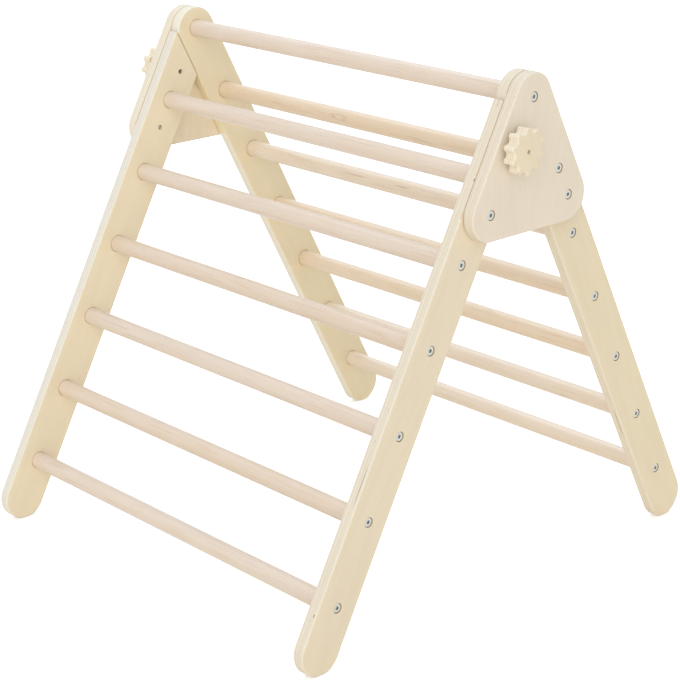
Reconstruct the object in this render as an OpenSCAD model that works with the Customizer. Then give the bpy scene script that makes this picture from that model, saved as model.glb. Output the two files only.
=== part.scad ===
// Folding climbing triangle. Two ladders of round rungs lean together. The side
// plates are fixed to the rear ladder, and the front ladder turns on a bolt through
// each plate. A gear-shaped knob above each pivot bolt locks the stance.
// X runs along the rungs, the front ladder stands on the -Y side and Z is up.
// The origin is on the floor, midway between the feet.

/* [Stance] */
// Lean of each ladder from the vertical
leg_angle = 28; // [25:0.5:32]
// Distance from rung to rung along a rail
rung_pitch = 120; // [110:1:130]
// Distance from the last rung to the centre of the round foot
foot_reach = 62; // [48:1:90]
// Width over the outer faces of the rails
frame_w = 700; // [450:5:900]

/* [Boards] */
// Width of a rail
rail_w = 69; // [56:1:76]
// Thickness of a rail
rail_t = 18; // [16:1:24]
// Thickness of a side plate
plate_t = 18; // [15:1:24]
// Radius of the corners of a side plate
plate_corner_r = 36; // [32:1:42]
// Lower edge of a side plate, below the axis of the top bar
plate_drop = 184; // [176:1:196]
// Rounding of the long edges of rails and plates
edge_r = 2.5; // [1:0.5:4]

/* [Rungs] */
// Diameter of a rung
rung_d = 26; // [24:1:34]
// Depth that a rung is let into a rail
socket_depth = 6; // [4:0.5:8]

/* [Fold] */
// Distance of the pivot bolt from the top bar, along the front rail
pivot_at = 166; // [160:1:172]
// Distance of the locking knob from the top bar, along the front rail
lock_at = 73; // [66:1:80]
// Gap between the mitred end of the front rail and the rear rail
mitre_gap = 1.5; // [0.5:0.1:3]
// Gap between the front rail and the side plate that it turns against
fold_gap = 0.3; // [0.2:0.05:0.5]

/* [Knob] */
// Diameter over the lobes
knob_d = 65; // [50:1:70]
// Thickness of the knob
knob_t = 18; // [15:1:22]
// Number of lobes
knob_lobes = 10; // [8:1:12]
// Radius of the round end of a lobe
lobe_r = 4.25; // [3:0.25:4.5]
// How far a lobe stands out of the body of the knob
lobe_h = 6.5; // [4:0.5:7]
// Gap from the plate to the back of the unscrewed knob
knob_standoff = 6; // [5:0.5:10]
// Turned position of the right knob
right_knob_turn = 3; // [0:1:36]
// Turned position of the left knob
left_knob_turn = 20; // [0:1:36]
// Thickness of the washer behind the knob
washer_t = 1.6; // [1:0.1:2.5]
// Outer diameter of the washer behind the knob
washer_d = 24; // [16:1:30]
// Diameter of the vent hole in the face of the knob
vent_d = 6; // [4:0.5:7]

/* [Hardware] */
// Shank diameter of a frame screw
screw_d = 6; // [5:0.5:7]
// Head diameter of a frame screw or a pivot bolt
head_d = 13; // [11:0.5:15]
// Head thickness of a frame screw or a pivot bolt
head_t = 3; // [2:0.25:4]
// How far a head lies below the surface of the board
head_sink = 0.8; // [0.2:0.1:1]
// Hexagon socket in a head, across the flats
hex_af = 5; // [4:0.5:6]
// Depth of the hexagon socket
hex_depth = 2; // [1:0.25:2.5]
// Length of screw that is held by a rung
rung_grip = 38; // [25:1:50]
// Length of screw that is held by a rear rail, where there is no rung
rail_grip = 12; // [8:1:13]
// Diameter of a pivot bolt and of a locking stud
bolt_d = 8; // [7:0.5:9]
// Outer diameter of a threaded insert
insert_d = 12; // [11:0.5:14]
// Length of a threaded insert
insert_len = 13; // [10:0.5:14]

/* [Clearances] */
// Between a turning bolt or stud and its hole, on the radius
run_clear = 0.05; // [0.02:0.01:0.1]
// Between a fixed piece and its hole, on the radius
fit_clear = 0.05; // [0.02:0.01:0.2]
// Around a screw head in its recess, on the radius
head_clear = 0.6; // [0.1:0.05:0.8]
// Between the faces of pieces that move past each other
face_clear = 0.3; // [0.2:0.05:0.5]
// Between the washer and the stud, on the radius
washer_clear = 0.2; // [0.1:0.05:0.5]

/* [Hidden] */
$fn = 64;

plywood = [0.89, 0.80, 0.64];
beech = [0.91, 0.82, 0.72];
zinc = [0.72, 0.74, 0.76];

rungs = 6;                 // rungs on each ladder, below the top bar
plate_rungs = 1;           // last rear rung whose screw goes through the plate
edge_fn = 16;              // steps round the circle of an edge's rounding
past = 1;                  // overshoot of a cut beyond the surface that it opens
seam = 0.02;               // how far a plate's straight edge lies behind its corners

half_rail = rail_w / 2;
foot_at = rungs * rung_pitch + foot_reach;
apex_z = half_rail + foot_at * cos(leg_angle);

// Faces of the right-hand boards, along X
rear_outer = frame_w / 2;
rear_inner = rear_outer - rail_t;
front_outer = rear_outer - fold_gap;
front_inner = front_outer - rail_t;
plate_outer = rear_outer + plate_t;

// Centres of a plate's corners. The arc of the top corner touches the outer edges of
// both rails, and that of a lower corner touches one of them and the plate's lower edge
corner_off = plate_corner_r - half_rail;
top_drop = corner_off / sin(leg_angle);
top_at = top_drop * cos(leg_angle);
corner_drop = plate_drop - plate_corner_r;
corner_at = (corner_drop - corner_off * sin(leg_angle)) / cos(leg_angle);
corner_y = corner_at * sin(leg_angle) - corner_off * cos(leg_angle);

// Screw heads and recesses
head_hole_d = head_d + 2 * head_clear;
head_hole_depth = head_t + head_sink;
shank_hole_d = screw_d + 2 * fit_clear;
bolt_hole_d = bolt_d + 2 * run_clear;
insert_hole_d = insert_d + 2 * fit_clear;

// Knob, from the plate outwards
knob_back = plate_outer + knob_standoff;
knob_front = knob_back + knob_t;
washer_outer = knob_back - face_clear;
washer_inner = washer_outer - washer_t;
lock_travel = washer_inner - plate_outer - face_clear;
stud_tip = rear_outer + face_clear + lock_travel;
stud_end = knob_back + insert_len;
knob_root_r = knob_d / 2 - lobe_h;

// ---- Placing ----

// The frame of a leg: its origin is the axis of the top bar, -Z runs down the rail
module rear_leg() translate([0, 0, apex_z]) rotate([leg_angle, 0, 0]) children();
module front_leg() translate([0, 0, apex_z]) rotate([-leg_angle, 0, 0]) children();

// A place on a leg, at a distance from the top bar
module down(distance) translate([0, 0, -distance]) children();

// The left side is the mirror image of the right side
module left_side() mirror([1, 0, 0]) children();

// A round bar along X, between two places
module bar_x(d, from, to) {
    translate([from, 0, 0]) rotate([0, 90, 0]) cylinder(d = d, h = to - from);
}

// ---- Boards ----

// Section of a board from its middle line to its rounded edge, at Y = half
module half_section(half, t) {
    translate([-t / 2, 0]) square([t, half - edge_r]);
    translate([edge_r - t / 2, 0]) square([t - 2 * edge_r, half]);
    for (s = [-1, 1]) translate([s * (t / 2 - edge_r), half - edge_r])
        circle(edge_r, $fn = edge_fn);
}

// Half of a straight board that runs down from the origin, one face at X = outer
module edge_strip(half, t, outer, len) {
    translate([outer - t / 2, 0, -len]) linear_extrude(len) half_section(half, t);
}

// The round end of a board. Angles run from +Y towards +Z
module board_end(r, t, outer, from = 0, sweep = 360) {
    translate([outer - t / 2, 0, 0]) rotate([90, 0, 90]) rotate(from)
        rotate_extrude(angle = sweep) rotate(-90) half_section(r, t);
}

// The top corner of a plate, or of the rail behind it
module top_corner(r, t, outer) translate([0, 0, apex_z - top_drop]) board_end(r, t, outer);

// A rail with its round foot
module rail(outer, from = 0) {
    down(from) for (s = [0, 1]) mirror([0, s, 0])
        edge_strip(half_rail, rail_t, outer, foot_at - from);
    down(foot_at) board_end(half_rail, rail_t, outer, 180, 180);
}

// Recess for a head, opening at X = outer
module head_recess(outer, below = 0) {
    bar_x(head_hole_d, outer - head_hole_depth - below, outer + past);
}

// Blind socket for the end of a rung, opening at X = inner
module rung_socket(inner) {
    bar_x(rung_d + 2 * fit_clear, inner - past, inner + socket_depth);
}

// A rear rail, whose top is cut to the corner of its plate
module rear_rail_blank() {
    intersection() {
        rear_leg() rail(rear_outer, top_at - plate_corner_r - past);
        union() {
            top_corner(plate_corner_r + seam, rail_t, rear_outer);
            rear_leg() down(foot_at + rail_w) translate([rear_inner - past, -rail_w, 0])
                cube([rail_t + 2 * past, 2 * rail_w, foot_at + rail_w - top_at]);
        }
    }
}

module rear_rail() {
    color(plywood) difference() {
        rear_rail_blank();
        rear_leg() {
            for (k = [0:rungs]) down(k * rung_pitch) {
                rung_socket(rear_inner);
                bar_x(shank_hole_d, rear_inner, rear_outer + past);
                if (k > plate_rungs) head_recess(rear_outer);
            }
            down(pivot_at) bar_x(shank_hole_d, rear_outer - rail_grip, rear_outer + past);
        }
    }
}

// The mitred top of the front rail lies along the rear rail when the stance is open
module mitre_cut() {
    rear_leg() translate([front_inner - past, -half_rail - mitre_gap, -2 * rail_w])
        cube([rail_t + 2 * past, 2 * rail_w, 3 * rail_w]);
}

module front_rail() {
    color(plywood) difference() {
        front_leg() rail(front_outer);
        mitre_cut();
        front_leg() {
            for (k = [1:rungs]) down(k * rung_pitch) {
                rung_socket(front_inner);
                bar_x(shank_hole_d, front_inner, front_outer + past);
                head_recess(front_outer);
            }
            for (at = [lock_at, pivot_at]) down(at) {
                bar_x(insert_hole_d, front_outer - insert_len, front_outer + past);
                bar_x(bolt_hole_d, front_inner - past, front_outer);
            }
        }
    }
}

// A plate's edge: three round corners with straight edges between them. The straight
// edges lie back by the seam, so that each one meets its corners in a clean line
module plate_edge() {
    top_corner(plate_corner_r, plate_t, plate_outer);
    translate([0, 0, apex_z]) {
        for (s = [-1, 1]) translate([0, s * corner_y, -corner_drop])
            board_end(plate_corner_r, plate_t, plate_outer);
        translate([0, corner_y, -corner_drop]) rotate([-90, 0, 0])
            edge_strip(plate_corner_r - seam, plate_t, plate_outer, 2 * corner_y);
    }
    for (s = [0, 1]) mirror([0, s, 0]) rear_leg()
        edge_strip(half_rail - seam, plate_t, plate_outer, corner_at);
}

// The flat middle of a plate, which reaches into its edge
module plate_core() {
    across = [cos(leg_angle), sin(leg_angle)];
    corner = [corner_y, -corner_drop];
    reach = plate_corner_r - 2 * edge_r;
    top = [0, -top_drop] + reach * across;
    side = corner + reach * across;
    low = corner - [0, reach];
    translate([rear_outer, 0, apex_z]) rotate([90, 0, 90]) linear_extrude(plate_t)
        polygon([top, side, low, [-low.x, low.y], [-side.x, side.y], [-top.x, top.y]]);
}

module side_plate() {
    color(plywood) difference() {
        union() {
            plate_edge();
            plate_core();
        }
        rear_leg() {
            for (k = [0:plate_rungs]) down(k * rung_pitch) {
                bar_x(shank_hole_d, rear_outer - past, plate_outer + past);
                head_recess(plate_outer);
            }
            down(pivot_at) {
                bar_x(shank_hole_d, rear_outer - past, plate_outer + past);
                head_recess(plate_outer);
            }
        }
        front_leg() {
            down(pivot_at) head_recess(plate_outer, face_clear);
            for (at = [lock_at, pivot_at]) down(at)
                bar_x(bolt_hole_d, rear_outer - past, plate_outer + past);
        }
    }
}

// ---- Rungs ----

// A rung seats on the floors of its two sockets and is bored at both ends for a screw
module rung(inner) {
    half = inner + socket_depth;
    color(beech) difference() {
        bar_x(rung_d, -half, half);
        for (s = [0, 1]) mirror([s, 0, 0])
            bar_x(shank_hole_d, half - rung_grip, half + past);
    }
}

module rear_rung(k) rear_leg() down(k * rung_pitch) rung(rear_inner);
module front_rung(k) front_leg() down(k * rung_pitch) rung(front_inner);

// ---- Screws, bolts and inserts ----

// A flat-headed screw with a hexagon socket, whose head sinks below X = outer
module socket_screw(d, outer, tip) {
    top = outer - head_sink;
    color(zinc) difference() {
        union() {
            bar_x(head_d, top - head_t, top);
            bar_x(d, tip, top - head_t / 2);
        }
        translate([top - hex_depth, 0, 0]) rotate([0, 90, 0])
            cylinder(d = hex_af / cos(30), h = hex_depth + past, $fn = 6);
    }
}

module rear_rung_screws() {
    for (k = [plate_rungs + 1:rungs]) rear_leg() down(k * rung_pitch)
        socket_screw(screw_d, rear_outer, rear_inner + socket_depth - rung_grip);
}

module plate_rung_screws() {
    for (k = [0:plate_rungs]) rear_leg() down(k * rung_pitch)
        socket_screw(screw_d, plate_outer, rear_inner + socket_depth - rung_grip);
}

module plate_screw() {
    rear_leg() down(pivot_at) socket_screw(screw_d, plate_outer, rear_outer - rail_grip);
}

module front_rung_screws() {
    for (k = [1:rungs]) front_leg() down(k * rung_pitch)
        socket_screw(screw_d, front_outer, front_inner + socket_depth - rung_grip);
}

module pivot_bolt() {
    front_leg() down(pivot_at) socket_screw(bolt_d, plate_outer, front_outer - insert_len);
}

// A plain sleeve stands for the threaded insert
module insert(from) {
    color(zinc) difference() {
        bar_x(insert_d, from, from + insert_len);
        bar_x(bolt_d + 2 * fit_clear, from - past, from + insert_len + past);
    }
}

module rail_insert(at) front_leg() down(at) insert(front_outer - insert_len);

// ---- Knob ----

module knob_outline(turn) {
    circle(knob_root_r);
    for (k = [0:knob_lobes - 1]) rotate(turn + k * 360 / knob_lobes)
        translate([0, knob_d / 2 - lobe_r]) {
            circle(lobe_r);
            translate([-lobe_r, -lobe_h]) square([2 * lobe_r, lobe_h]);
        }
}

// The lobed disc is cut from board, and its rim is rounded by the same edge radius
module knob(turn) {
    front_leg() down(lock_at) color(plywood) difference() {
        intersection() {
            translate([knob_back, 0, 0]) rotate([leg_angle, 0, 0]) rotate([90, 0, 90])
                linear_extrude(knob_t) knob_outline(turn);
            board_end(knob_d / 2, knob_t, knob_front);
        }
        bar_x(insert_hole_d, knob_back - past, stud_end);
        bar_x(vent_d, knob_back, knob_front + past);
    }
}

module lock_stud() color(zinc) front_leg() down(lock_at) bar_x(bolt_d, stud_tip, stud_end);

module knob_insert() front_leg() down(lock_at) insert(knob_back);

module knob_washer() {
    color(zinc) front_leg() down(lock_at) difference() {
        bar_x(washer_d, washer_inner, washer_outer);
        bar_x(bolt_d + 2 * washer_clear, washer_inner - past, washer_outer + past);
    }
}

rear_rail();  // rear_rail_right
left_side() rear_rail();  // rear_rail_left
side_plate();  // side_plate_right
left_side() side_plate();  // side_plate_left
rear_rung(0);  // apex_rung
rear_rung(1);  // rear_rung_1
rear_rung(2);  // rear_rung_2
rear_rung(3);  // rear_rung_3
rear_rung(4);  // rear_rung_4
rear_rung(5);  // rear_rung_5
rear_rung(6);  // rear_rung_6
front_rail();  // front_rail_right
left_side() front_rail();  // front_rail_left
front_rung(1);  // front_rung_1
front_rung(2);  // front_rung_2
front_rung(3);  // front_rung_3
front_rung(4);  // front_rung_4
front_rung(5);  // front_rung_5
front_rung(6);  // front_rung_6
rear_rung_screws();  // rear_rung_screws_right
left_side() rear_rung_screws();  // rear_rung_screws_left
plate_rung_screws();  // plate_rung_screws_right
left_side() plate_rung_screws();  // plate_rung_screws_left
plate_screw();  // plate_screw_right
left_side() plate_screw();  // plate_screw_left
front_rung_screws();  // front_rung_screws_right
left_side() front_rung_screws();  // front_rung_screws_left
pivot_bolt();  // pivot_bolt_right
left_side() pivot_bolt();  // pivot_bolt_left
rail_insert(pivot_at);  // pivot_insert_right
left_side() rail_insert(pivot_at);  // pivot_insert_left
rail_insert(lock_at);  // lock_insert_right
left_side() rail_insert(lock_at);  // lock_insert_left
knob(right_knob_turn);  // knob_right
left_side() knob(left_knob_turn);  // knob_left
knob_insert();  // knob_insert_right
left_side() knob_insert();  // knob_insert_left
lock_stud();  // lock_stud_right
left_side() lock_stud();  // lock_stud_left
knob_washer();  // knob_washer_right
left_side() knob_washer();  // knob_washer_left
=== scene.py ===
from math import cos, radians, sin

import bmesh
import bpy
from mathutils import Matrix, Quaternion, Vector


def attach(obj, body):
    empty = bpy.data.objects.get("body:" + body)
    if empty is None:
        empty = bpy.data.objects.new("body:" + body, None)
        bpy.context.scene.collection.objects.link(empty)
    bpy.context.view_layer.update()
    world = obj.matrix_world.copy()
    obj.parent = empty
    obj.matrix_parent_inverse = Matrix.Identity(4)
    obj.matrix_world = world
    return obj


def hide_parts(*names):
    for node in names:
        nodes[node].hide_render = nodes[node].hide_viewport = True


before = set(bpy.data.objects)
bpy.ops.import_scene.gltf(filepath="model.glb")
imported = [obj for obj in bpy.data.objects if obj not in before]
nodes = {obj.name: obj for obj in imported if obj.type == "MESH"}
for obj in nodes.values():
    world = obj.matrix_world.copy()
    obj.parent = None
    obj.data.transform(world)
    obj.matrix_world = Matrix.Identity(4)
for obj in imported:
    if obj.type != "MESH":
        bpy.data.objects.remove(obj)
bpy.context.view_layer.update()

# ---- Rear rails ----
# Two straight rails of 18 mm birch plywood, routed from the sheet with their long edges
# rounded and then sanded. Every edge shows the thirteen plies, turned across each other
# by a quarter turn, with a hair of glue between them.

LEAN = radians(28)
BOARD = 0.018
PLIES = 13
RAIL_W = 0.069
REAR_RAIL_OUTER = 0.350
REAR_RAIL_INNER = REAR_RAIL_OUTER - BOARD
RUNGS = 6
RUNG_PITCH = 0.120
RUNG_R = 0.013
FOOT_REACH = 0.062
TOP_BAR_Z = RAIL_W / 2 + (RUNGS * RUNG_PITCH + FOOT_REACH) * cos(LEAN)
HEAD_R = 0.0065
HEAD_CLEAR = 0.0006
RECESS_R = HEAD_R + HEAD_CLEAR


def paint(red, green, blue):
    """A colour as a screen shows it, from 0 to 255, made linear."""
    levels = [c / 255 for c in (red, green, blue)]
    return [c / 12.92 if c < 0.04045 else ((c + 0.055) / 1.055) ** 2.4 for c in levels] + [1]


def feed(tree, socket, source):
    """Sets a socket to a value, or links it to another socket."""
    if isinstance(source, bpy.types.NodeSocket):
        tree.links.new(source, socket)
    else:
        socket.default_value = source


def add(tree, kind, settings=(), **feeds):
    """A shader node with its settings made and its named sockets fed."""
    node = tree.nodes.new("ShaderNode" + kind)
    for key, value in dict(settings).items():
        setattr(node, key, value)
    for name, source in feeds.items():
        feed(tree, node.inputs[name.replace("_", " ")], source)
    return node


def calc(tree, operation, *values):
    """A Math node, as the socket that it puts out."""
    node = add(tree, "Math", {"operation": operation})
    for socket, value in zip(node.inputs, values):
        feed(tree, socket, value)
    return node.outputs[0]


def vector_calc(tree, operation, *vectors):
    """A Vector Math node, as the socket that it puts out."""
    node = add(tree, "VectorMath", {"operation": operation})
    for socket, vector in zip(node.inputs, vectors):
        feed(tree, socket, vector)
    return node.outputs["Value" if operation in ("DISTANCE", "LENGTH") else "Vector"]


def ramp(tree, value, low, high, start=0.0, end=1.0):
    """A smooth step: start below low, end above high."""
    node = add(tree, "MapRange", {"interpolation_type": "SMOOTHSTEP"}, Value=value,
               From_Min=low, From_Max=high, To_Min=start, To_Max=end)
    return node.outputs[0]


def fall(tree, value, low, high, start=1.0):
    """A smooth step down, from start to nothing."""
    return ramp(tree, value, low, high, start, 0.0)


def tint(tree, share, colour, other, blend="MIX"):
    """Colour, blended with the other by a share."""
    node = add(tree, "Mix", {"data_type": "RGBA", "blend_type": blend})
    feed(tree, node.inputs["Factor"], share)
    feed(tree, node.inputs[6], colour)
    feed(tree, node.inputs[7], other)
    return node.outputs[2]


def shaded(tree, colour, shade):
    """Colour, made lighter or darker."""
    grey = add(tree, "CombineColor", Red=shade, Green=shade, Blue=shade)
    return tint(tree, 1.0, colour, grey.outputs[0], "MULTIPLY")


def stretched(tree, vector, feature, detail=2.0, rough=0.5):
    """Noise drawn out along Z, whose features have a width and a length."""
    width, length = feature
    scaled = vector_calc(tree, "MULTIPLY", vector, (1 / width, 1 / width, 1 / length))
    noise = add(tree, "TexNoise", Vector=scaled, Scale=1.0, Detail=detail, Roughness=rough)
    return noise.outputs["Fac"]


def new_group(name, inputs, outputs):
    """An empty node group with named sockets, and its two ends."""
    tree = bpy.data.node_groups.new(name, "ShaderNodeTree")
    for in_out, sockets in (("INPUT", inputs), ("OUTPUT", outputs)):
        for label, kind in sockets:
            tree.interface.new_socket(label, in_out=in_out, socket_type="NodeSocket" + kind)
    return tree, tree.nodes.new("NodeGroupInput"), tree.nodes.new("NodeGroupOutput")


def new_material(name):
    """A material with a plain Principled shader, and its tree."""
    material = bpy.data.materials.new(name)
    material.use_nodes = True
    return material, material.node_tree


def finish(tree, colour, rough, relief, height, strength):
    """Feeds the shader with a colour, a roughness and a fine relief."""
    bump = add(tree, "Bump", Strength=strength, Distance=height, Height=relief)
    shader = tree.nodes["Principled BSDF"]
    feed(tree, shader.inputs["Base Color"], colour)
    feed(tree, shader.inputs["Roughness"], rough)
    feed(tree, shader.inputs["Normal"], bump.outputs[0])
    return shader


RINGS = 70.0
RING_HILL = (0.060, 0.500)
FIBRE = (0.0007, 0.030)
PORE = (0.0005, 0.006)
CLOUD = (0.035, 0.160)

grain, ends_in, ends_out = new_group(
    "wood_grain", [("Position", "Vector")],
    [("Figure", "Float"), ("Fibre", "Float"), ("Pores", "Float"), ("Cloud", "Float")])
place = ends_in.outputs["Position"]
hills = stretched(grain, place, RING_HILL, 2.0, 0.45)
waves = calc(grain, "SINE", calc(grain, "MULTIPLY", hills, RINGS))
feed(grain, ends_out.inputs["Figure"], calc(grain, "MULTIPLY_ADD", waves, 0.5, 0.5))
feed(grain, ends_out.inputs["Fibre"], stretched(grain, place, FIBRE, 3.0, 0.6))
feed(grain, ends_out.inputs["Pores"], ramp(grain, stretched(grain, place, PORE, 1.0), 0.66, 0.76))
feed(grain, ends_out.inputs["Cloud"], stretched(grain, place, CLOUD, 2.0))

plies, ends_in, ends_out = new_group(
    "ply_stack", [("Depth", "Float")], [("Cross", "Float"), ("Glue", "Float"), ("Tone", "Float")])
layers = calc(plies, "DIVIDE", ends_in.outputs["Depth"], BOARD / PLIES)
layers = calc(plies, "MINIMUM", calc(plies, "MAXIMUM", layers, 0.0), PLIES - 0.01)
number = calc(plies, "FLOOR", layers)
feed(plies, ends_out.inputs["Cross"], calc(plies, "FLOORED_MODULO", number, 2.0))
from_middle = calc(plies, "ABSOLUTE", calc(plies, "SUBTRACT", calc(plies, "FRACT", layers), 0.5))
feed(plies, ends_out.inputs["Glue"], ramp(plies, from_middle, 0.40, 0.49))
lot = add(plies, "TexWhiteNoise", {"noise_dimensions": "1D"}, W=number)
feed(plies, ends_out.inputs["Tone"], lot.outputs["Value"])

marks, ends_in, ends_out = new_group(
    "wood_mark", [("Position", "Vector"), ("Middle", "Vector"), ("Size", "Vector")],
    [("Radii", "Float")])
apart = vector_calc(marks, "SUBTRACT", ends_in.outputs["Position"], ends_in.outputs["Middle"])
apart = vector_calc(marks, "DIVIDE", apart, ends_in.outputs["Size"])
feed(marks, ends_out.inputs["Radii"], vector_calc(marks, "LENGTH", apart))


def radii_from(tree, position, mark):
    """Distance from the middle of a mark in the wood, in its own radii."""
    middle, size = mark
    group = add(tree, "Group", {"node_tree": marks}, Position=position, Middle=middle, Size=size)
    return group.outputs["Radii"]


FIGURE_TINT = paint(246, 239, 227)
END_GRAIN_TINT = paint(241, 234, 218)
BIRCH_PORE = paint(201, 176, 134)
PLY_GLUE = paint(190, 164, 122)
PLY_VOID = paint(112, 82, 50)
# Painted shade: the tone of the shade in screw recesses, rung sockets and seams.
PAINTED_SHADE_TONE = paint(196, 176, 148)
# Painted shade in the gap where two rails meet.
MITRE_GAP_SHADE = paint(228, 192, 126)
# Painted warm bounce light on inner rail edges in the shade of the other rail.
SHADED_EDGE_BOUNCE = paint(255, 248, 222)

VENEER_SKIN = 0.0001
VENEER_END = 0.0012
EDGE_BAND = 0.003
CORE_VOID = (0.003, 0.022)
# Widths of the painted shade round screw recesses and rung sockets.
RECESS_RIM = 0.0004
SOCKET_RIM = 0.0014
SOCKET_LIP = (0.0002, 0.0006)
# Width, share and reach of the painted shade along the mitre line.
MITRE_LINE = (0.0006, 0.0016)
MITRE_SHARE = 0.6
MITRE_END = 0.067
BEHIND_PLATE = 0.185
# Depths and share of the painted shade along the seam at a board's inner edge.
SEAM_SKIN = 0.00015
SEAM_DARK = 0.0006
SEAM_END = 0.0018
SEAM_SHARE = 0.5
GRAIN_HEIGHT = 0.00006


def on_leg(lean, distance):
    """Y and Z at a distance down a leg from the top bar."""
    return distance * sin(lean), TOP_BAR_Z - distance * cos(lean)


def from_axes(tree, here, places):
    """Distance to the nearest of some lines along X."""
    flat = vector_calc(tree, "MULTIPLY", here, (0, 1, 1))
    nearest = 1.0
    for y, z in places:
        nearest = calc(tree, "MINIMUM", nearest, vector_calc(tree, "DISTANCE", flat, (0, y, z)))
    return nearest


def meeting_tones(tree, colour, axes, edge, lean, mitre):
    """Colour, with painted shade on the line where two rails meet and a painted warm bounce of light on
    their shaded inner edges below it.
    """
    line = calc(tree, "ADD", calc(tree, "MULTIPLY", axes["Y"], cos(mitre)),
                calc(tree, "MULTIPLY", axes["Z"], sin(mitre)))
    line = calc(tree, "ABSOLUTE", calc(tree, "ADD", line, RAIL_W / 2))
    line = calc(tree, "MULTIPLY", fall(tree, line, *MITRE_LINE, MITRE_SHARE),
                calc(tree, "GREATER_THAN", axes["Z"], -MITRE_END))
    # Painted shade in the gap where the rails meet.
    colour = tint(tree, line, colour, MITRE_GAP_SHADE, "MULTIPLY")
    # Painted warm bounce light on the inner edge that lies in the other rail's shade.
    inward = calc(tree, "MULTIPLY", axes["Y"], -1.0 if lean > 0 else 1.0)
    near_edge = calc(tree, "GREATER_THAN", inward, RAIL_W / 2 - EDGE_BAND)
    below_mitre = calc(tree, "COMPARE", axes["Z"], -(MITRE_END + BEHIND_PLATE) / 2,
                       (BEHIND_PLATE - MITRE_END) / 2)
    bounce_share = calc(tree, "MULTIPLY", calc(tree, "MULTIPLY", edge, near_edge), below_mitre)
    return tint(tree, bounce_share, colour, SHADED_EDGE_BOUNCE, "MULTIPLY")


def recess_and_seam_shade(tree, here, axes, depth, to_face, bores, rail):
    """A mask of painted shade in screw recesses, round rung sockets and the seam between a rail and its
    plate.
    """
    reach = from_axes(tree, here, bores)
    shade_share = calc(tree, "MULTIPLY", fall(tree, reach, RECESS_R, RECESS_R + RECESS_RIM),
                calc(tree, "GREATER_THAN", depth, BOARD / 2))
    seam = calc(tree, "GREATER_THAN", to_face, SEAM_SKIN)
    if rail:
        socket = calc(tree, "MULTIPLY", fall(tree, reach, RUNG_R, RUNG_R + SOCKET_RIM),
                      fall(tree, depth, *SOCKET_LIP))
        shade_share = calc(tree, "MAXIMUM", shade_share, socket)
        seam = calc(tree, "MULTIPLY", seam, ramp(tree, depth, BOARD - SEAM_END, BOARD - SEAM_DARK))
        seam = calc(tree, "MULTIPLY", seam, calc(tree, "GREATER_THAN", axes["Z"], -BEHIND_PLATE))
    else:
        seam = calc(tree, "MULTIPLY", seam, fall(tree, depth, SEAM_DARK, SEAM_END))
    return calc(tree, "MAXIMUM", shade_share, calc(tree, "MULTIPLY", seam, SEAM_SHARE))


def birch_plywood(name, lean, inner, faces, edges, bores=(), mitre=None, voids=()):
    """Plywood whose face grain leans with a leg. Inner is X at the inner face of the board.
    Faces and edges each hold the tones of the right and the left board. A rail takes the
    angle between its grain and the mitre, and the voids in its core plies."""
    material, tree = new_material(name)
    here = add(tree, "TexCoord").outputs["Object"]
    turn = add(tree, "Mapping", {"vector_type": "TEXTURE"}, Vector=here,
               Location=(0, 0, TOP_BAR_Z), Rotation=(lean, 0, 0))
    board = turn.outputs[0]
    axes = add(tree, "SeparateXYZ", Vector=board).outputs
    depth = calc(tree, "SUBTRACT", calc(tree, "ABSOLUTE", axes["X"]), inner)
    left = calc(tree, "LESS_THAN", axes["X"], 0.0)
    to_face = calc(tree, "MINIMUM", depth, calc(tree, "SUBTRACT", BOARD, depth))
    edge = ramp(tree, to_face, VENEER_SKIN, VENEER_END)

    stack = add(tree, "Group", {"node_tree": plies}, Depth=depth).outputs
    across = add(tree, "CombineXYZ", X=axes["X"], Y=axes["Z"], Z=axes["Y"])
    swap = add(tree, "Mix", {"data_type": "VECTOR"})
    feed(tree, swap.inputs["Factor"], stack["Cross"])
    feed(tree, swap.inputs[4], board)
    feed(tree, swap.inputs[5], across.outputs[0])
    wood = add(tree, "Group", {"node_tree": grain}, Position=swap.outputs[1]).outputs

    # The left board's tones are painted lighter than the right's, to make up for the shade on the far
    # side.
    face = tint(tree, calc(tree, "MULTIPLY", wood["Figure"], 0.15),
                tint(tree, left, *faces), FIGURE_TINT, "MULTIPLY")
    layer = tint(tree, calc(tree, "MULTIPLY", stack["Tone"], 0.8),
                 tint(tree, left, *edges), END_GRAIN_TINT, "MULTIPLY")
    layer = tint(tree, calc(tree, "MULTIPLY", stack["Glue"], 0.35), layer, PLY_GLUE)
    shade = calc(tree, "MULTIPLY_ADD", wood["Fibre"], 0.05, 0.975)
    shade = calc(tree, "MULTIPLY", shade, ramp(tree, wood["Cloud"], 0.3, 0.7, 0.985, 1.01))
    colour = shaded(tree, tint(tree, edge, face, layer), shade)
    colour = tint(tree, calc(tree, "MULTIPLY", wood["Pores"], 0.15), colour, BIRCH_PORE)
    void = ramp(tree, stretched(tree, swap.outputs[1], CORE_VOID, 1.0), 0.775, 0.795)
    for mark in voids:
        void = calc(tree, "MAXIMUM", void, fall(tree, radii_from(tree, board, mark), 0.6, 1.0))
    void = calc(tree, "MULTIPLY", void, edge)
    colour = tint(tree, calc(tree, "MULTIPLY", void, 0.8), colour, PLY_VOID)
    if mitre is not None:
        colour = meeting_tones(tree, colour, axes, edge, lean, mitre)
    # Painted shade in screw recesses, round rung sockets and along seams.
    shade_share = recess_and_seam_shade(tree, here, axes, depth, to_face, bores, mitre is not None)
    colour = tint(tree, shade_share, colour, PAINTED_SHADE_TONE, "MULTIPLY")

    relief = calc(tree, "SUBTRACT", wood["Fibre"], wood["Pores"])
    relief = calc(tree, "SUBTRACT", relief, calc(tree, "MULTIPLY", stack["Glue"], edge))
    rough = calc(tree, "MULTIPLY_ADD", wood["Fibre"], 0.16, 0.48)
    finish(tree, colour, rough, relief, GRAIN_HEIGHT, 0.35)
    return material


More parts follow.
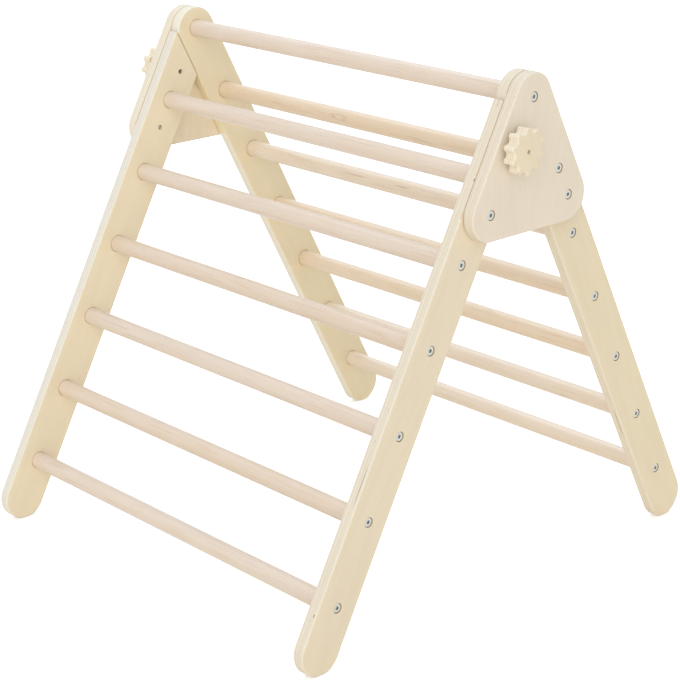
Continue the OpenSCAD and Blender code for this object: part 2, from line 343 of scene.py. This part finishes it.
def front_void(x, down, half_width, half_length):
    """A void in a core ply, on the front edge of a rail. Down is along the leg."""
    return (x, -RAIL_W / 2, -down), (half_width, 0.002, half_length)


def dress(material, *names):
    """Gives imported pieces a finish."""
    for name in names:
        for holder in nodes[name].material_slots:
            holder.material = material


rear_rail_plywood = birch_plywood(
    "rear_rail_plywood", LEAN, REAR_RAIL_INNER,
    faces=[paint(233, 220, 190), paint(240, 226, 193)],
    edges=[paint(236, 229, 213), paint(246, 243, 232)],
    bores=[on_leg(LEAN, k * RUNG_PITCH) for k in range(RUNGS + 1)],
    mitre=0,
    voids=[front_void(0.3440, 0.589, 0.0006, 0.034)])
dress(rear_rail_plywood, "rear_rail_right", "rear_rail_left")

# ---- Side plates ----
# Two triangles of the same plywood with round corners, screwed on over the tops of the
# rear rails. Their face grain stands upright, and their edges are rounded like the rails'.

SIDE_PLATE_INNER = REAR_RAIL_OUTER
SIDE_PLATE_OUTER = SIDE_PLATE_INNER + BOARD
PIVOT_AT = 0.166

side_plate_plywood = birch_plywood(
    "side_plate_plywood", 0, SIDE_PLATE_INNER,
    faces=[paint(236, 225, 207), paint(242, 228, 202)],
    edges=[paint(235, 226, 212), paint(241, 234, 220)],
    bores=[on_leg(LEAN, at) for at in (0, RUNG_PITCH, PIVOT_AT)] + [on_leg(-LEAN, PIVOT_AT)])
dress(side_plate_plywood, "side_plate_right", "side_plate_left")

# ---- Rungs ----
# Thirteen turned beech rods of 26 mm, let into blind sockets in the rails. Beech is a
# little pinker than birch, with straight grain, and some of the rods are deeper in tone.
# One rod has a small knot, and another has two drying checks.

STREAK = (0.005, 0.200)
RAY_FLECK = (0.0006, 0.0035)
GROWTH_LINE = (0.0024, 0.080)
KNOT_WANDER = (0.003, 0.009)
FLECK_BROWN = paint(190, 150, 120)
LINE_BROWN = paint(186, 148, 116)
KNOT = ((-0.0535, 0.0436, 0.6217), (0.0150, 0.0050, 0.0044))
KNOT_HEART = ((-0.0640, 0.0435, 0.6208), (0.0050, 0.0030, 0.0018))
LONG_CHECK = ((-0.0750, 0.1005, 0.5175), (0.0340, 0.0030, 0.0011))
SHORT_CHECK = ((0.0255, 0.1008, 0.5183), (0.0200, 0.0030, 0.0014))


def beech_rod(name, pale, figured, knots=(), checks=()):
    """Turned beech with its grain along X, in two tones. Knots show as a rim and checks as
    a dark core, each with its centre and size."""
    material, tree = new_material(name)
    here = add(tree, "TexCoord").outputs["Object"]
    axes = add(tree, "SeparateXYZ", Vector=here).outputs
    rod = add(tree, "CombineXYZ", X=axes["Y"], Y=axes["Z"], Z=axes["X"]).outputs[0]
    wood = add(tree, "Group", {"node_tree": grain}, Position=rod).outputs

    colour = tint(tree, calc(tree, "MULTIPLY", wood["Figure"], 0.3), pale, figured)
    shade = calc(tree, "MULTIPLY_ADD", wood["Fibre"], 0.06, 0.97)
    streak = ramp(tree, stretched(tree, rod, STREAK, 3.0), 0.35, 0.65, 0.98, 1.015)
    colour = shaded(tree, colour, calc(tree, "MULTIPLY", shade, streak))
    fleck = ramp(tree, stretched(tree, rod, RAY_FLECK, 0.0), 0.64, 0.74)
    colour = tint(tree, calc(tree, "MULTIPLY", fleck, 0.18), colour, FLECK_BROWN)
    line = ramp(tree, stretched(tree, rod, GROWTH_LINE, 1.5), 0.59, 0.73)
    wander = calc(tree, "MULTIPLY", stretched(tree, rod, KNOT_WANDER, 1.0), 0.9)
    for mark in knots:
        out = calc(tree, "ADD", radii_from(tree, here, mark), wander)
        rim = calc(tree, "MULTIPLY", ramp(tree, out, 0.9, 1.35), fall(tree, out, 1.4, 1.9))
        line = calc(tree, "MAXIMUM", line, rim)
    line = calc(tree, "MULTIPLY", line, 0.26)
    for mark in checks:
        line = calc(tree, "MAXIMUM", line, fall(tree, radii_from(tree, here, mark), 0.3, 1.1, 0.55))
    colour = tint(tree, line, colour, LINE_BROWN)

    rough = calc(tree, "MULTIPLY_ADD", wood["Fibre"], 0.14, 0.42)
    relief = calc(tree, "SUBTRACT", wood["Fibre"], fleck)
    shader = finish(tree, colour, rough, relief, GRAIN_HEIGHT, 0.3)
    shader.inputs["Coat Weight"].default_value = 1.0
    shader.inputs["Coat Roughness"].default_value = 0.3
    return material


dress(beech_rod("front_beech_pale", paint(224, 208, 191), paint(220, 200, 177)),
      "apex_rung", *[f"front_rung_{k}" for k in (1, 2, 4, 6)])
dress(beech_rod("front_beech_deep", paint(223, 205, 185), paint(219, 196, 169)),
      "front_rung_3", "front_rung_5")
# The rear rods are painted lighter than the front ones, to make up for the shade of the rear ladder.
dress(beech_rod("rear_beech_pale", paint(232, 217, 197), paint(228, 207, 181),
                checks=[LONG_CHECK, SHORT_CHECK]),
      *[f"rear_rung_{k}" for k in (2, 5, 6)])
dress(beech_rod("rear_beech_deep", paint(231, 212, 186), paint(227, 202, 168),
                knots=[KNOT], checks=[KNOT_HEART]),
      *[f"rear_rung_{k}" for k in (1, 3, 4)])

# ---- Front rails ----
# Two more rails of the same plywood, mitred at the top so that they lie along the rear
# rails when the ladders stand open. They turn on a bolt through each side plate.

FOLD_GAP = 0.0003
FRONT_RAIL_OUTER = REAR_RAIL_OUTER - FOLD_GAP
FRONT_RAIL_INNER = FRONT_RAIL_OUTER - BOARD

front_rail_plywood = birch_plywood(
    "front_rail_plywood", -LEAN, FRONT_RAIL_INNER,
    faces=[paint(236, 223, 197), paint(241, 228, 199)],
    edges=[paint(235, 228, 214), paint(236, 234, 227)],
    bores=[on_leg(-LEAN, k * RUNG_PITCH) for k in range(1, RUNGS + 1)],
    mitre=2 * LEAN,
    voids=[front_void(0.3453, 0.557, 0.0006, 0.034),
           front_void(0.3457, 0.737, 0.0012, 0.003),
           front_void(0.3487, 0.131, 0.0010, 0.003)])
dress(front_rail_plywood, "front_rail_right", "front_rail_left")

# ---- Frame screws and pivot bolts ----
# Flat-headed screws of zinc-plated steel with a hexagon socket, through rail and plate
# into the ends of the rungs, with one more in each plate. The pivot bolts have the same
# head on a thicker shank. The threaded inserts in the front rails are yellow zinc.

HEAD_T = 0.003
HEAD_SINK = 0.0008
HEAD_EDGE = 0.0005
HEAD_STEPS = 24
HEX_AF = 0.005
HEX_DEPTH = 0.002
HEX_EDGE = 0.0003
DRILL_POINT = 0.0006
TIP_T = 0.001
SCREW_R = 0.003
BOLT_R = 0.004
SOCKET_DEPTH = 0.006
RUNG_GRIP = 0.038
RAIL_GRIP = 0.012
INSERT_DEPTH = 0.013
TURN_PER_METRE = 7


def plated(name, dull, bright, metallic, smooth, rough):
    """Plated steel, clouded between two tones and two roughnesses."""
    material, tree = new_material(name)
    here = add(tree, "TexCoord").outputs["Object"]
    cloud = add(tree, "TexNoise", Vector=here, Scale=900.0, Detail=3.0).outputs["Fac"]
    scratches = add(tree, "TexNoise", Vector=here, Scale=4000.0, Detail=2.0).outputs["Fac"]
    shader = finish(tree, tint(tree, ramp(tree, cloud, 0.35, 0.65), dull, bright),
                    ramp(tree, cloud, 0.3, 0.7, smooth, rough), scratches, 0.00002, 0.2)
    shader.inputs["Metallic"].default_value = metallic
    return material


zinc = plated("zinc_plated_steel", paint(214, 218, 215), paint(230, 233, 230), 1.0, 0.26, 0.42)
# Darker steel painted as the shade inside hex sockets and on the stud's cut ends.
shaded_socket_steel = plated("hex_socket_in_painted_shade", paint(146, 154, 160), paint(168, 174, 178), 0.6, 0.5, 0.6)
yellow_zinc = plated("yellow_zinc_steel", paint(196, 178, 134), paint(216, 200, 158), 0.4, 0.35, 0.5)


def ring(bm, radius, x, segments):
    """The edges of a circle round the X axis."""
    facing_x = Matrix.Translation((x, 0, 0)) @ Matrix.Rotation(radians(90), 4, "Y")
    made = bmesh.ops.create_circle(bm, segments=segments, radius=radius, matrix=facing_x)
    return list({e for v in made["verts"] for e in v.link_edges})


def drawn(bm, edges, move=0.0, scale=1.0):
    """Draws a loop of edges along X and scales it round the axis, with a wall behind it."""
    made = bmesh.ops.extrude_edge_only(bm, edges=edges)["geom"]
    verts = [g for g in made if isinstance(g, bmesh.types.BMVert)]
    bmesh.ops.scale(bm, vec=(1, scale, scale), verts=verts)
    bmesh.ops.translate(bm, vec=(move, 0, 0), verts=verts)
    return [g for g in made if isinstance(g, bmesh.types.BMEdge)]


def soften(bm, edges, offset, segments):
    """Rounds edges over."""
    bmesh.ops.bevel(bm, geom=edges, offset=offset, segments=segments, profile=0.5,
                    affect="EDGES", material=-1)


def screw(bm, at, right, shank_r, length, turn):
    """A screw whose head tops out at a place. Length is from there to the tip."""
    old = set(bm.verts)
    rim = ring(bm, HEAD_R, 0, HEAD_STEPS)
    hexagon = ring(bm, HEX_AF / 2 / cos(radians(30)), 0, 6)
    bmesh.ops.bridge_loops(bm, edges=rim + hexagon)
    top = set(bm.faces)
    drill = drawn(bm, drawn(bm, hexagon, -HEX_DEPTH), 0, 0.6)
    bmesh.ops.edgeloop_fill(bm, edges=drawn(bm, drill, -DRILL_POINT, 0.2))
    # The socket's faces take the darker steel, as painted shade.
    for face in set(bm.faces) - top:
        face.material_index = 1
    neck = drawn(bm, drawn(bm, rim, -HEAD_T), 0, shank_r / HEAD_R)
    tip = drawn(bm, neck, HEAD_T + TIP_T - length)
    bmesh.ops.edgeloop_fill(bm, edges=drawn(bm, tip, -TIP_T, 0.7))
    soften(bm, rim, HEAD_EDGE, 3)
    soften(bm, hexagon, HEX_EDGE, 2)
    facing = Matrix.Identity(4) if right else Matrix.Rotation(radians(180), 4, "Z")
    bmesh.ops.transform(bm, matrix=Matrix.Translation(at) @ facing @ Matrix.Rotation(turn, 4, "X"),
                        verts=[v for v in bm.verts if v not in old])


def piece(name, bm, materials, body, slot, *replaced):
    """Makes a mesh into a named piece on its body."""
    bmesh.ops.recalc_face_normals(bm, faces=bm.faces)
    mesh = bpy.data.meshes.new(name)
    bm.to_mesh(mesh)
    bm.free()
    for material in materials:
        mesh.materials.append(material)
    mesh.shade_smooth()
    mesh.set_sharp_from_angle(angle=radians(40))
    made = bpy.data.objects.new(name, mesh)
    made.modifiers.new("flat_faces", "WEIGHTED_NORMAL").keep_sharp = True
    bpy.context.scene.collection.objects.link(made)
    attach(made, body)
    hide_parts(*replaced)


def screws(name, side, body, places, outer, tip, shank_r):
    """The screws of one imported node, each driven home at an angle of its own."""
    bm = bmesh.new()
    right = side == "right"
    lean = LEAN if body == "rear_ladder" else -LEAN
    x = outer - HEAD_SINK
    for distance in places:
        y, z = on_leg(lean, distance)
        turn = TURN_PER_METRE * distance + lean + right
        screw(bm, (x if right else -x, y, z), right, shank_r, x - tip, turn)
    hex_name = name.replace("screw", "hex_screw").replace("bolt", "hex_bolt")
    piece(f"{hex_name}_{side}", bm, (zinc, shaded_socket_steel), body, "zinc_steel", f"{name}_{side}")


low_rungs = [k * RUNG_PITCH for k in range(2, RUNGS + 1)]
rear_tip = REAR_RAIL_INNER + SOCKET_DEPTH - RUNG_GRIP
front_tip = FRONT_RAIL_INNER + SOCKET_DEPTH - RUNG_GRIP
for side in ("right", "left"):
    screws("rear_rung_screws", side, "rear_ladder", low_rungs, REAR_RAIL_OUTER, rear_tip, SCREW_R)
    screws("plate_rung_screws", side, "rear_ladder", [0, RUNG_PITCH], SIDE_PLATE_OUTER,
           rear_tip, SCREW_R)
    screws("plate_screw", side, "rear_ladder", [PIVOT_AT], SIDE_PLATE_OUTER,
           REAR_RAIL_OUTER - RAIL_GRIP, SCREW_R)
    screws("front_rung_screws", side, "front_ladder", [RUNG_PITCH] + low_rungs, FRONT_RAIL_OUTER,
           front_tip, SCREW_R)
    screws("pivot_bolt", side, "front_ladder", [PIVOT_AT], SIDE_PLATE_OUTER,
           FRONT_RAIL_OUTER - INSERT_DEPTH, BOLT_R)
    dress(yellow_zinc, f"pivot_insert_{side}", f"lock_insert_{side}")

# ---- Locking knobs ----
# A disc of the same plywood with ten round lobes, cut out with a fine cutter and rounded
# over on both faces for the hand. A threaded insert of yellow zinc is let into its back.

KNOB_STANDOFF = 0.006
KNOB_BACK = SIDE_PLATE_OUTER + KNOB_STANDOFF
KNOB_R = 0.0325
KNOB_T = 0.018
LOBES = 10
LOBE_R = 0.00425
LOBE_H = 0.0065
LOBE_STEPS = 8
RIM_R = 0.002
VENT_R = 0.003
VENT_EDGE = 0.0004
INSERT_BORE_R = 0.00605
BORE_STEPS = 48
LOCK_AT = 0.073
FIRST_LOBE = {"right": radians(93), "left": radians(110)}

# The knob's plywood takes the painted seam shade along its back edge.
knob_plywood = birch_plywood("knob_plywood", LEAN, KNOB_BACK,
                             faces=[paint(236, 223, 195)] * 2, edges=[paint(244, 236, 219)] * 2)


def lobed_outline(bm, first):
    """Round lobes with round valleys between them, as one loop of edges round the X axis."""
    half = radians(180) / LOBES
    lobe_at = KNOB_R - LOBE_R
    root = KNOB_R - LOBE_H
    valley_at = (lobe_at ** 2 - (root - LOBE_R) ** 2) / (2 * (lobe_at * cos(half) - root + LOBE_R))
    lobe = Vector((0, lobe_at, 0))
    valley = Vector((0, valley_at * cos(half), valley_at * sin(half)))
    meet = Vector((0, 1, 0)).angle(valley - lobe)
    last = [bm.verts.new(lobe + Matrix.Rotation(-meet, 3, "X") @ Vector((0, LOBE_R, 0)))]
    for centre, angle in ((lobe, 2 * meet), (valley, 2 * (half - meet))):
        arc = bmesh.ops.spin(bm, geom=last, cent=centre, axis=(1, 0, 0), angle=angle, steps=LOBE_STEPS)
        last = [g for g in arc["geom_last"] if isinstance(g, bmesh.types.BMVert)]
    bmesh.ops.spin(bm, geom=bm.verts[:] + bm.edges[:], cent=(0, 0, 0), axis=(1, 0, 0),
                   angle=radians(360) - 2 * half, steps=LOBES - 1, use_duplicate=True)
    bmesh.ops.remove_doubles(bm, verts=bm.verts, dist=0.00001)
    bmesh.ops.rotate(bm, verts=bm.verts, cent=(0, 0, 0), matrix=Matrix.Rotation(first, 3, "X"))
    return bm.edges[:]


lock_y, lock_z = on_leg(-LEAN, LOCK_AT)
for side, mirror in (("right", 1), ("left", -1)):
    bm = bmesh.new()
    outline = lobed_outline(bm, FIRST_LOBE[side])
    bore = ring(bm, INSERT_BORE_R, 0, BORE_STEPS)
    bmesh.ops.bridge_loops(bm, edges=outline + bore)
    vent = drawn(bm, drawn(bm, bore, INSERT_DEPTH), 0, VENT_R / INSERT_BORE_R)
    mouth = drawn(bm, vent, KNOB_T - INSERT_DEPTH)
    front = drawn(bm, outline, KNOB_T)
    bmesh.ops.bridge_loops(bm, edges=front + mouth)
    soften(bm, outline + front, RIM_R, 5)
    soften(bm, [e for e in mouth if e.is_valid], VENT_EDGE, 2)
    bmesh.ops.scale(bm, vec=(mirror, 1, 1), verts=bm.verts)
    bmesh.ops.translate(bm, vec=(mirror * KNOB_BACK, lock_y, lock_z), verts=bm.verts)
    piece(f"lobed_knob_{side}", bm, [knob_plywood], f"knob_{side}", "birch_plywood", f"knob_{side}")
    dress(yellow_zinc, f"knob_insert_{side}")

# ---- Locking studs and washers ----
# The knob turns on a stud with a rolled M8 thread, glued into its insert. A stamped
# washer with broken edges lies loose on the stud behind the knob.

FACE_CLEAR = 0.0003
WASHER_OUTER = KNOB_BACK - FACE_CLEAR
WASHER_T = 0.0016
WASHER_INNER = WASHER_OUTER - WASHER_T
WASHER_R = 0.012
WASHER_BORE_R = 0.0042
WASHER_EDGE = 0.0003
STUD_R = 0.004
STUD_ROOT_R = 0.00335
STUD_PITCH = 0.00125
CREST = 0.06
TURN_STEPS = 24
SPARE_TURNS = 2
LOCK_TRAVEL = WASHER_INNER - SIDE_PLATE_OUTER - FACE_CLEAR
STUD_TIP = REAR_RAIL_OUTER + FACE_CLEAR + LOCK_TRAVEL
STUD_LENGTH = KNOB_BACK + INSERT_DEPTH - STUD_TIP


def threaded_rod(bm):
    """A thread round the X axis with its ends cut square, from X = 0 outwards."""
    turns = int(STUD_LENGTH / STUD_PITCH) + 2 * SPARE_TURNS
    ridge = [bm.verts.new((x * STUD_PITCH, r, 0)) for x, r in
             ((-0.5, STUD_ROOT_R), (-CREST, STUD_R), (CREST, STUD_R), (0.5, STUD_ROOT_R))]
    chain = [bm.edges.new(pair) for pair in zip(ridge, ridge[1:])]
    bmesh.ops.spin(bm, geom=ridge + chain, cent=(0, 0, 0), axis=(1, 0, 0),
                   angle=turns * radians(360), steps=turns * TURN_STEPS,
                   dvec=(STUD_PITCH / TURN_STEPS, 0, 0))
    bmesh.ops.remove_doubles(bm, verts=bm.verts, dist=0.000005)
    start = SPARE_TURNS * STUD_PITCH
    for x, outward in ((start, -1), (start + STUD_LENGTH, 1)):
        cut = bmesh.ops.bisect_plane(bm, geom=bm.verts[:] + bm.edges[:] + bm.faces[:],
                                     dist=0.0000001, plane_co=(x, 0, 0),
                                     plane_no=(outward, 0, 0), clear_outer=True)
        rim = [g for g in cut["geom_cut"] if isinstance(g, bmesh.types.BMEdge)]
        # The cut ends take the darker steel, as painted shade.
        bmesh.ops.edgeloop_fill(bm, edges=rim, mat_nr=1)
    bmesh.ops.translate(bm, vec=(-start, 0, 0), verts=bm.verts)


for side, mirror in (("right", 1), ("left", -1)):
    bm = bmesh.new()
    threaded_rod(bm)
    bmesh.ops.translate(bm, vec=(STUD_TIP, 0, 0), verts=bm.verts)
    outwards = Matrix.Rotation(radians(0 if side == "right" else 180), 3, "Z")
    bmesh.ops.rotate(bm, verts=bm.verts, cent=(0, 0, 0), matrix=outwards)
    bmesh.ops.translate(bm, vec=(0, lock_y, lock_z), verts=bm.verts)
    piece(f"threaded_stud_{side}", bm, [zinc, shaded_socket_steel], f"knob_{side}", "zinc_steel", f"lock_stud_{side}")

    bm = bmesh.new()
    near = [ring(bm, radius, WASHER_INNER, BORE_STEPS) for radius in (WASHER_R, WASHER_BORE_R)]
    bmesh.ops.bridge_loops(bm, edges=near[0] + near[1])
    far = [drawn(bm, loop, WASHER_T) for loop in near]
    bmesh.ops.bridge_loops(bm, edges=far[0] + far[1])
    soften(bm, near[0] + near[1] + far[0] + far[1], WASHER_EDGE, 2)
    bmesh.ops.translate(bm, vec=(0, lock_y, lock_z), verts=bm.verts)
    bmesh.ops.scale(bm, vec=(mirror, 1, 1), verts=bm.verts)
    piece(f"stamped_washer_{side}", bm, [zinc], f"washer_{side}", "zinc_steel", f"knob_washer_{side}")

# ---- Studio ----
# A floor that runs into a white world. The camera sees the floor white, and the light
# that it throws back is warm. Two wide suns help the world: one in front, one overhead.

FLOOR_SIZE = 60
FLOOR_GLOW = 0.35
WORLD_LIGHT = 0.475
SUN_WIDTH = radians(70)

bpy.ops.mesh.primitive_plane_add(size=FLOOR_SIZE)
floor = bpy.context.object
floor.name = "studio_floor"
floor_white, tree = new_material("studio_floor_white")
shader = tree.nodes["Principled BSDF"]
shown = add(tree, "LightPath").outputs["Is Camera Ray"]
feed(tree, shader.inputs["Base Color"], tint(tree, shown, paint(252, 244, 233), paint(250, 250, 250)))
shader.inputs["Roughness"].default_value = 0.9
shader.inputs["Specular IOR Level"].default_value = 0.0
shader.inputs["Emission Color"].default_value = (1, 1, 1, 1)
feed(tree, shader.inputs["Emission Strength"], calc(tree, "MULTIPLY", shown, FLOOR_GLOW))
floor.data.materials.append(floor_white)

world = bpy.data.worlds.new("studio_world")
bpy.context.scene.world = world
world.use_nodes = True
tree = world.node_tree
light = tree.nodes["Background"]
light.inputs["Color"].default_value = (1, 1, 1, 1)
light.inputs["Strength"].default_value = WORLD_LIGHT
white = add(tree, "Background", Color=(1, 1, 1, 1), Strength=1.0)
path = add(tree, "LightPath").outputs
seen = calc(tree, "MAXIMUM", path["Is Camera Ray"],
            calc(tree, "MAXIMUM", path["Is Glossy Ray"], path["Is Transmission Ray"]))
both = add(tree, "MixShader")
feed(tree, both.inputs[0], seen)
feed(tree, both.inputs[1], light.outputs[0])
feed(tree, both.inputs[2], white.outputs[0])
feed(tree, tree.nodes["World Output"].inputs["Surface"], both.outputs[0])


def sun(name, towards, strength, colour):
    """A wide soft sun in a direction from the object."""
    lamp = bpy.data.lights.new(name, "SUN")
    lamp.energy = strength
    lamp.color = colour
    lamp.angle = SUN_WIDTH
    holder = bpy.data.objects.new(name, lamp)
    holder.rotation_mode = "QUATERNION"
    holder.rotation_quaternion = Vector(towards).to_track_quat("Z", "Y")
    bpy.context.scene.collection.objects.link(holder)


sun("key_sun", (0.5, -0.75, 0.42), 1.42, (1.0, 1.0, 1.0))
sun("top_sun", (-0.2, 0.3, 1.0), 1.16, (0.9, 1.0, 1.12))

AZIMUTH, ELEVATION, ROLL = radians(46.6878), radians(19.5555), radians(-0.0187)
AIM = Vector((-0.008264, 0.004005, 0.288217))
DISTANCE = 2.871417
PICTURE_PIXELS = 680
FOCAL_PIXELS = 1878.168
SENSOR_W = 36

back = Vector((sin(AZIMUTH) * cos(ELEVATION), -cos(AZIMUTH) * cos(ELEVATION), sin(ELEVATION)))
lens = bpy.data.cameras.new("camera")
lens.sensor_width = SENSOR_W
lens.lens = FOCAL_PIXELS * SENSOR_W / PICTURE_PIXELS
camera = bpy.data.objects.new("camera", lens)
camera.location = AIM + back * DISTANCE
camera.rotation_mode = "QUATERNION"
camera.rotation_quaternion = (-back).to_track_quat("-Z", "Y") @ Quaternion((0, 0, 1), ROLL)
bpy.context.scene.collection.objects.link(camera)
bpy.context.scene.camera = camera
bpy.context.scene.view_settings.view_transform = "Standard"
